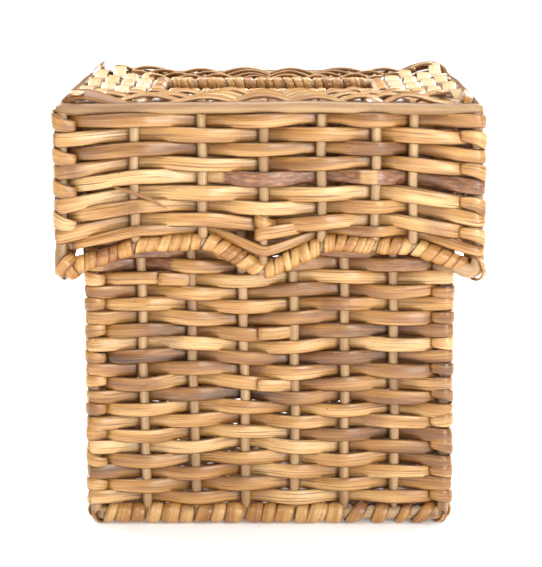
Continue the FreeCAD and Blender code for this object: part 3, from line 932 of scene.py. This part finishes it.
def basket_posts():
    """Corner posts that stand on the bend of the base rod, with cane round the bend."""
    for corner, side in zip(CORNERS, SIDES):
        piece, cane = Piece(), Piece()
        foot = turned([-BASKET_HALF, -BASKET_HALF, BASE_Z + 1.0], side)
        top = turned([-BASKET_HALF, -BASKET_HALF, RIM_Z - RIM_ROD_R], side)
        core(piece, foot, top, POST_R, 0.5, 0.3, turned(FORWARD, side))
        reach = BASKET_HALF
        bend = rounded([(-reach, -reach + 9), (-reach, -reach), (-reach + 9, -reach)], (5.0,))
        line = np.column_stack([bend, np.full(len(bend), BASE_Z)])
        radii = BASE_ROD_R + 0.35 * arch(len(line))
        piece.rod(turned(line, side), UP, radii, 0.6)
        name = "post_" + corner
        piece.build(name, CORES, "basket", "corner_post_" + corner)
        centre = turned([-reach + 1.4, -reach + 1.4, BASE_Z], side)
        slant = math.radians(225) + QUARTER * SIDES.index(side)
        diagonal_ring(cane, centre, slant, BASE_BOUND_R - 0.9, 2.6, 0.55, 0.8)
        diagonal_ring(cane, centre, slant, BASE_BOUND_R - 0.6, 1.8, 0.4, -0.9)
        cane.build("cane_" + corner, BINDING, "basket")


def lid_posts():
    """Corner posts of the lid, each bent at its foot into the long skirt rod beside it."""
    for corner, side in zip(CORNERS, SIDES):
        piece, cane = Piece(), Piece()
        line = rounded([(0.0, LID_RIM_Z - 1.0), (-1.3, 100.6), (12.0, 109.0)], (4.6,), 0.6)
        s = distances(line)
        end = s[-1]
        radii = np.interp(s, (0, end - 22, end - 14, end - 7, end), (2.3, 2.3, 3.2, 3.2, 2.2))
        bent, still = line[:, 0] - LID_HALF, np.full(len(line), -LID_HALF)
        if is_long(side):
            path, out = np.column_stack([bent, still, line[:, 1]]), FORWARD
        else:
            path, out = np.column_stack([still, bent, line[:, 1]]), (-1.0, 0.0, 0.0)
        piece.rod(turned(path, side), turned(out, side), radii, 0.6)
        name = "lid_post_" + corner
        piece.build(name, CORES, "lid", "lid_corner_post_" + corner)
        if is_long(side):
            bend = np.array([-LID_HALF + 1.2, -LID_HALF, SKIRT_CORNER_Z + 1.2])
            low = bend + [1.5, 0, -0.6]
            knuckle_band(cane, low, (-0.55, 0.84), 4.0, 4.3, 4.0, side, 0.52, 0.5)
            knuckle_band(cane, bend, (0.61, 0.79), 4.8, 5.2, 4.4, side, 0.62, 1.5)
        else:
            centre = turned([-LID_HALF, -LID_HALF, SKIRT_CORNER_Z + 0.6], side)
            slant = math.radians(225) + QUARTER * SIDES.index(side)
            diagonal_ring(cane, centre, slant, 4.6, 2.4, 0.6, -0.8)
        cane.build("cane_lid_" + corner, BINDING, "lid")


def lid_rims():
    for side in SIDES:
        piece = Piece()
        reach = LID_ROD_REACH if is_long(side) else LID_HALF
        inner = np.linspace(-reach + 3, reach - 3, 56)
        x = np.concatenate([[-reach, -reach + 0.3], inner, [reach - 0.3, reach]])
        z = LID_RIM_Z + 0.9 * np.cos(x / LID_HALF * QUARTER) ** 2 - 0.35
        z += waves(x, (70, 33), (0.12, 0.06))
        y = -LID_HALF + waves(x, (90, 40), (0.15, 0.08))
        radii = LID_ROD_R * (1 + waves(x, (45, 21), (0.02, 0.012)))
        tones = 0.46 + waves(x, (60, 25), (0.06, 0.04))
        line = turned(np.column_stack([x, y, z]), side)
        radii = radii * np.clip(0.72 + (reach - np.abs(x)) / 6.0, 0, 1)
        piece.rod(line, turned(FORWARD, side), radii, tones, blunt=0.4)
        node = "lid_rim_rod_" + side
        piece.build("core_" + node, RODS, "lid", node)


# ---- bindings


def wrap(piece, line, out, rod_r, bound_r, turn_w, slope, tone, section=CANE, loose=0.0, burn=0.03):
    """Split cane wound round a stretch of rod. line is its centre, turn_w the width of a turn."""
    s = distances(line)
    length = s[-1]
    count = max(1, round(length / turn_w))
    shares = rng.uniform(0.7, 1.3, count)
    bounds = np.concatenate([[0], np.cumsum(shares)]) / shares.sum() * length
    across = unit(np.cross(np.gradient(line, axis=0), np.broadcast_to(out, line.shape)))
    for low, high in zip(bounds, bounds[1:]):
        width = (high - low) * (1.02 - loose)
        middle = (low + high) / 2
        angle = np.linspace(0, 2 * math.pi, 25)
        lean = -slope * rng.uniform(0.5, 1.4) * np.cos(angle)
        at = np.clip(middle + lean, 0, length)
        radial = read_at(at, s, across) * np.cos(angle)[:, None]
        radial = radial + np.outer(np.sin(angle), out)
        thick = (bound_r - rod_r) * rng.uniform(0.85, 1.0)
        r = rod_r + thick / 2 - rng.uniform(0.0, 0.15) * (bound_r - rod_r)
        path = read_at(at, s, line) + radial * r
        mark = 0.0
        if rng.random() < burn:
            mark = np.clip(-np.cos(angle - rng.uniform(-0.5, 0.5)) - 0.1, 0, 0.8)
        # random tone for each turn, plus painted shade: each turn is 0.08 darker on its face
        # towards the inside of the box and 0.08 paler on its outward face
        shade = tone + rng.normal(0, 0.12) + 0.08 * np.sin(angle)
        piece.sweep(path, radial, width, thick, section, shade, mark, rng.uniform(-0.1, 0.14))


def stretches(stakes, half, gap, left_gap, right_gap):
    """The lengths of rod between stakes, with a gap at each stake and at the two corners."""
    lefts = [-half + left_gap] + [x + gap for x in stakes]
    rights = [x - gap for x in stakes] + [half - right_gap]
    return list(zip(lefts, rights))


def straight(left, right, half, z):
    x = np.linspace(left, right, 12)
    return np.column_stack([x, np.full(12, -half), np.full(12, z)])


def basket_bindings():
    base, rim = Piece(), Piece()
    for side in SIDES:
        out = turned(FORWARD, side)
        for left, right in stretches(BASKET_STAKES, BASKET_HALF, 0.4, 3.6, 3.6):
            line = turned(straight(left, right, BASKET_HALF, BASE_Z), side)
            sparse = side == "front" and left > SPARSE_FROM_X
            turns = (8.0, 2.1, 0.52) if sparse else (5.6, 0.9, 0.56)
            wear = (0.46, 0.7) if sparse else (0.0, 0.08)
            wrap(base, line, out, BASE_ROD_R, BASE_BOUND_R, *turns, oval(12, 2.4), *wear)
            line = turned(straight(left + 0.5, right - 0.5, BASKET_HALF, RIM_Z), side)
            wrap(rim, line, out, RIM_ROD_R, RIM_BOUND_R, 4.5, 0.6, 0.6)
    base.build("wraps_base", BINDING, "basket", "base_binding")
    rim.build("wraps_rim", BINDING, "basket", "rim_binding")


def skirt_binding():
    piece = Piece()
    for side in SIDES:
        line = SKIRT_LINES[side]
        out = turned(FORWARD, side)
        for left, right in stretches(LID_STAKES[side], LID_HALF, 0.4, 0.6, 4.2):
            part = line[(line[:, 0] >= left) & (line[:, 0] <= right)]
            points = np.column_stack([part[:, 0], np.full(len(part), -LID_HALF), part[:, 1]])
            bound_r = rng.uniform(3.4, 3.8)
            section = oval(12, 3.4)
            wrap(piece, turned(points, side), out, SKIRT_ROD_R, bound_r, 4.2, 1.1, 0.54, section)
    piece.build("wraps_skirt", BINDING, "lid", "skirt_binding")


# ---- top of the lid


def top_side(side):
    """How far out the slot's rod lies on one side, and how the stakes narrow towards it."""
    return (SLOT_HALF_Y, FAN_LONG) if is_long(side) else (SLOT_HALF_X, FAN_SHORT)


def level_line(spots, pull, count):
    """Parts of a line through spots that runs level along x at each of them."""
    parts = []
    for p, q in zip(spots, spots[1:]):
        head = np.array([pull * abs(q[0] - p[0]), 0, 0])
        parts.append(hermite(p, q, head, head, count))
    return parts


def top_stake_lines():
    """Feet of the top's stakes on the rim and at the slot, with the side that each belongs to."""
    lines = []
    for side in SIDES:
        depth, fan = top_side(side)
        rim, slot = LID_HALF - LID_ROD_R + 0.4, depth + SLOT_ROD_R - 0.4
        feet = [(x, x * fan) for x in LID_STAKES[side]]
        if is_long(side):
            feet += [(sign * CORNER_RIM_X, sign * CORNER_SLOT_X) for sign in (-1, 1)]
        lines += [(side, (outer, rim), (inner, slot)) for outer, inner in feet]
    return lines


def top_stakes():
    piece = Piece()
    for side, (x0, d0), (x1, d1) in top_stake_lines():
        start = turned([x0, -d0, TOP_RIM_Z], side)
        end = turned([x1, -d1, TOP_SLOT_Z], side)
        core(piece, start, end, TOP_STAKE_R, rng.normal(0.6, 0.08), 0.2, UP)
    piece.build("cores_top_stakes", CORES, "lid", "top_stakes")


def top_crossings(side, out_at):
    """Where the stakes of one side, its corner stakes included, cross a strand at that depth."""
    depth, fan = top_side(side)
    share = (LID_HALF - out_at) / (LID_HALF - depth)
    middle = [x * (1 - share * (1 - fan)) for x in LID_STAKES[side]]
    if is_long(side):
        corner = CORNER_RIM_X - share * (CORNER_RIM_X - CORNER_SLOT_X)
    else:
        part = (CORNER_RIM_X - out_at) / (CORNER_RIM_X - CORNER_SLOT_X)
        corner = LID_HALF - part * (LID_HALF - SLOT_HALF_Y)
    level = TOP_RIM_Z + share * (TOP_SLOT_Z - TOP_RIM_Z)
    return [-corner] + middle + [corner], level


def top_corner_band(piece, side):
    """A broad strand that arches from the corner's outside over the first stakes of the top."""
    reach = LID_HALF
    points = np.array([
        (-reach + 0.6, -reach + 4.0, LID_RIM_Z + 0.2),
        (-reach + 3.0, -reach + 3.4, LID_RIM_Z + 4.3),
        (-reach + 9.0, -reach + 3.0, LID_RIM_Z + 5.1),
        (-reach + 17.0, -reach + 2.8, LID_RIM_Z + 2.9),
        (-reach + 24.0, -reach + 3.4, LID_RIM_Z - 0.4),
    ])
    heads = np.gradient(points, axis=0)
    parts = [
        hermite(p, q, hp, hq, 6)
        for p, q, hp, hq in zip(points, points[1:], heads, heads[1:])
    ]
    line = np.concatenate([*parts, points[-1:]])
    out = unit(np.array([-0.1, -0.62, 0.78]))
    width = 5.4 * (0.82 + 0.18 * arch(len(line)))
    tone = 0.5 + rng.uniform(-0.05, 0.05)
    piece.sweep(turned(line, side), turned(out, side), width, 1.5, oval(14, 2.6, 0.03), tone)


def top_weave():
    amp = TOP_STAKE_R + TOP_STRAND_T / 2
    groups = [Piece() for _ in range(TOP_RINGS)]
    for side in SIDES:
        long_side = is_long(side)
        count = TOP_ROWS if long_side else TOP_COLUMNS
        inner = TOP_ROW_INNER if long_side else TOP_COLUMN_INNER
        pitch = (TOP_OUTER - inner) / (count - 1)
        for row in range(count):
            out_at = TOP_OUTER - row * pitch
            xs, level = top_crossings(side, out_at)
            sign = (-1) ** (row + SIDES.index(side))
            spots = [
                np.array([x, -out_at, level + sign * (-1) ** i * amp]) for i, x in enumerate(xs)
            ]
            tail = np.array([2.2, 0, 0])
            parts = level_line(spots, 1.1, 12)
            line = np.concatenate([[spots[0] - tail], *parts, [spots[-1], spots[-1] + tail]])
            s = line[:, 0]
            line[:, 1] += waves(s, (60, 27), (0.3, 0.15))
            line[:, 2] += waves(s, (50, 33), (0.15, 0.1))
            width = TOP_STRAND_W + waves(s, (45, 21), (0.3, 0.15))
            # the top's side columns get the painted glare tone; its rows get a random tone
            tone = strand_tone(0.70, 0.10, 0.03) if long_side else PAINTED_GLARE_TONE
            tones = tone + waves(s, (80, 35), (0.07, 0.05))
            from_corner = np.abs(line[:, :2]) - TOP_OUTER
            near_corner = np.hypot(from_corner[:, 0], from_corner[:, 1])
            line[:, 2] += CORNER_RISE * np.exp(-((near_corner / 16.0) ** 2))
            sizes = (width, TOP_STRAND_T, oval(12, 2.6, 0.02))
            roll = ROW_TILT if long_side else 0.0
            group = groups[row * TOP_RINGS // count]
            group.sweep(turned(line, side), UP, *sizes, tones, 0.0, roll)
    for side in SIDES:
        top_corner_band(groups[0], side)
    for number, group in enumerate(groups):
        node = "top_rings_%d" % (number + 1)
        group.build("weave_" + node, STRANDS, "lid", node)


def slot_binding():
    piece = Piece()
    for side in SIDES:
        depth, fan = top_side(side)
        half = SLOT_HALF_X if is_long(side) else SLOT_HALF_Y
        stakes = [x * fan for x in LID_STAKES[side]]
        if is_long(side):
            stakes = [-CORNER_SLOT_X] + stakes + [CORNER_SLOT_X]
        out = turned(FORWARD, side)
        for left, right in stretches(stakes, half, 0.7, 2.4, 2.4):
            if right - left > 1.2:
                line = turned(straight(left, right, depth, SLOT_Z), side)
                wrap(piece, line, out, SLOT_ROD_R, SLOT_ROD_R + 0.95, 3.6, 0.9, 0.7)
    piece.build("wraps_slot", BINDING, "lid", "slot_binding")


def basket_floor():
    stakes, strands = Piece(), Piece()
    for x in BASKET_STAKES:
        reach = BASKET_HALF - BASE_ROD_R + 0.3
        core(stakes, (x, -reach, BASE_Z), (x, reach, BASE_Z), STAKE_R, 0.5, 0.3, UP)
    low, high = node_box("floor_strands")
    pitch = (high[1] - low[1] - FLOOR_STRAND_W) / (FLOOR_STRANDS - 1)
    amp = STAKE_R + STRAND_T / 2 - 0.2
    for row in range(FLOOR_STRANDS):
        y = low[1] + FLOOR_STRAND_W / 2 + row * pitch
        sign = (-1) ** row
        spots = [np.array([low[0], y, BASE_Z + 0.8 * sign])]
        for i, x in enumerate(BASKET_STAKES):
            spots.append(np.array([x, y, BASE_Z + sign * (-1) ** i * amp]))
        spots.append(np.array([high[0], y, BASE_Z - 0.8 * sign]))
        line = np.concatenate([*level_line(spots, 1.0, 10), [spots[-1]]])
        line[:, 1] += waves(line[:, 0], (60, 27), (0.2, 0.1))
        tone = strand_tone() + waves(line[:, 0], (70, 30), (0.08, 0.05))
        strands.sweep(line, UP, FLOOR_STRAND_W, STRAND_T - 0.2, oval(12, 2.5), tone)
    stakes.build("cores_floor_stakes", CORES, "basket", "floor_stakes")
    strands.build("weave_floor", STRANDS, "basket", "floor_strands")


def dress_kept_nodes():
    """CAD rods and posts that stay as they are get bare rattan with its grain along them."""
    for name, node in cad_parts.items():
        if node.hide_render:
            continue
        axis = 0
        if "post" in name:
            axis = 2
        elif name.endswith(("left", "right")):
            axis = 1
        node.data.materials.clear()
        node.data.materials.append(rod_skins[axis])


# ---- studio


def area_light(name, place, aim, size, power):
    data = bpy.data.lights.new(name, "AREA")
    data.shape = "RECTANGLE"
    data.size, data.size_y = size
    data.energy = power
    light = add_object(name, data)
    light.location = place
    aim = Vector(aim) - Vector(place)
    light.rotation_euler = aim.to_track_quat("-Z", "Y").to_euler()


def studio():
    scene = bpy.context.scene
    scene.view_settings.view_transform = "Standard"
    scene.view_settings.gamma = 0.88
    scene.view_settings.exposure = 0.0
    mesh = bpy.data.meshes.new("studio_floor")
    r = FLOOR_REACH
    mesh.from_pydata([(-r, -r, 0), (r, -r, 0), (r, r, 0), (-r, r, 0)], [], [(0, 1, 2, 3)])
    add_object("studio_floor", mesh)
    paper = Nodes("paper")
    paper.put(paper.shader.inputs["Base Color"], (0.95, 0.95, 0.95, 1.0))
    paper.put(paper.shader.inputs["Roughness"], 0.9)
    paper.put(paper.shader.inputs["Emission Color"], (1.0, 1.0, 1.0, 1.0))
    away = paper.tree.nodes.new("ShaderNodeVectorMath")
    away.operation = "LENGTH"
    paper.link(paper.place(), away.inputs[0])
    glow = paper.band(away.outputs["Value"], 0.2, 1.4, 0.24, 0.95, "LINEAR")
    paper.put(paper.shader.inputs["Emission Strength"], glow)
    mesh.materials.append(paper.material)
    world = bpy.data.worlds.new("studio")
    scene.world = world
    world.use_nodes = True
    background = world.node_tree.nodes["Background"]
    background.inputs["Color"].default_value = (1.0, 0.94, 0.87, 1.0)
    background.inputs["Strength"].default_value = 0.15
    for light in LIGHTS:
        area_light(*light)


def photographer():
    camera = add_object("camera", bpy.data.cameras.new("camera"))
    camera.location = CAMERA_PLACE
    camera.rotation_euler = (math.radians(90 - CAMERA_LOOKS_DOWN), 0, 0)
    camera.data.sensor_width = 36.0
    camera.data.lens = CAMERA_LENS
    bpy.context.scene.camera = camera


basket_walls()
basket_stakes()
basket_posts()
basket_bindings()
basket_floor()
lid_walls()
lid_stakes()
lid_posts()
lid_rims()
skirt_binding()
top_stakes()
top_weave()
slot_binding()
dress_kept_nodes()
studio()
photographer()
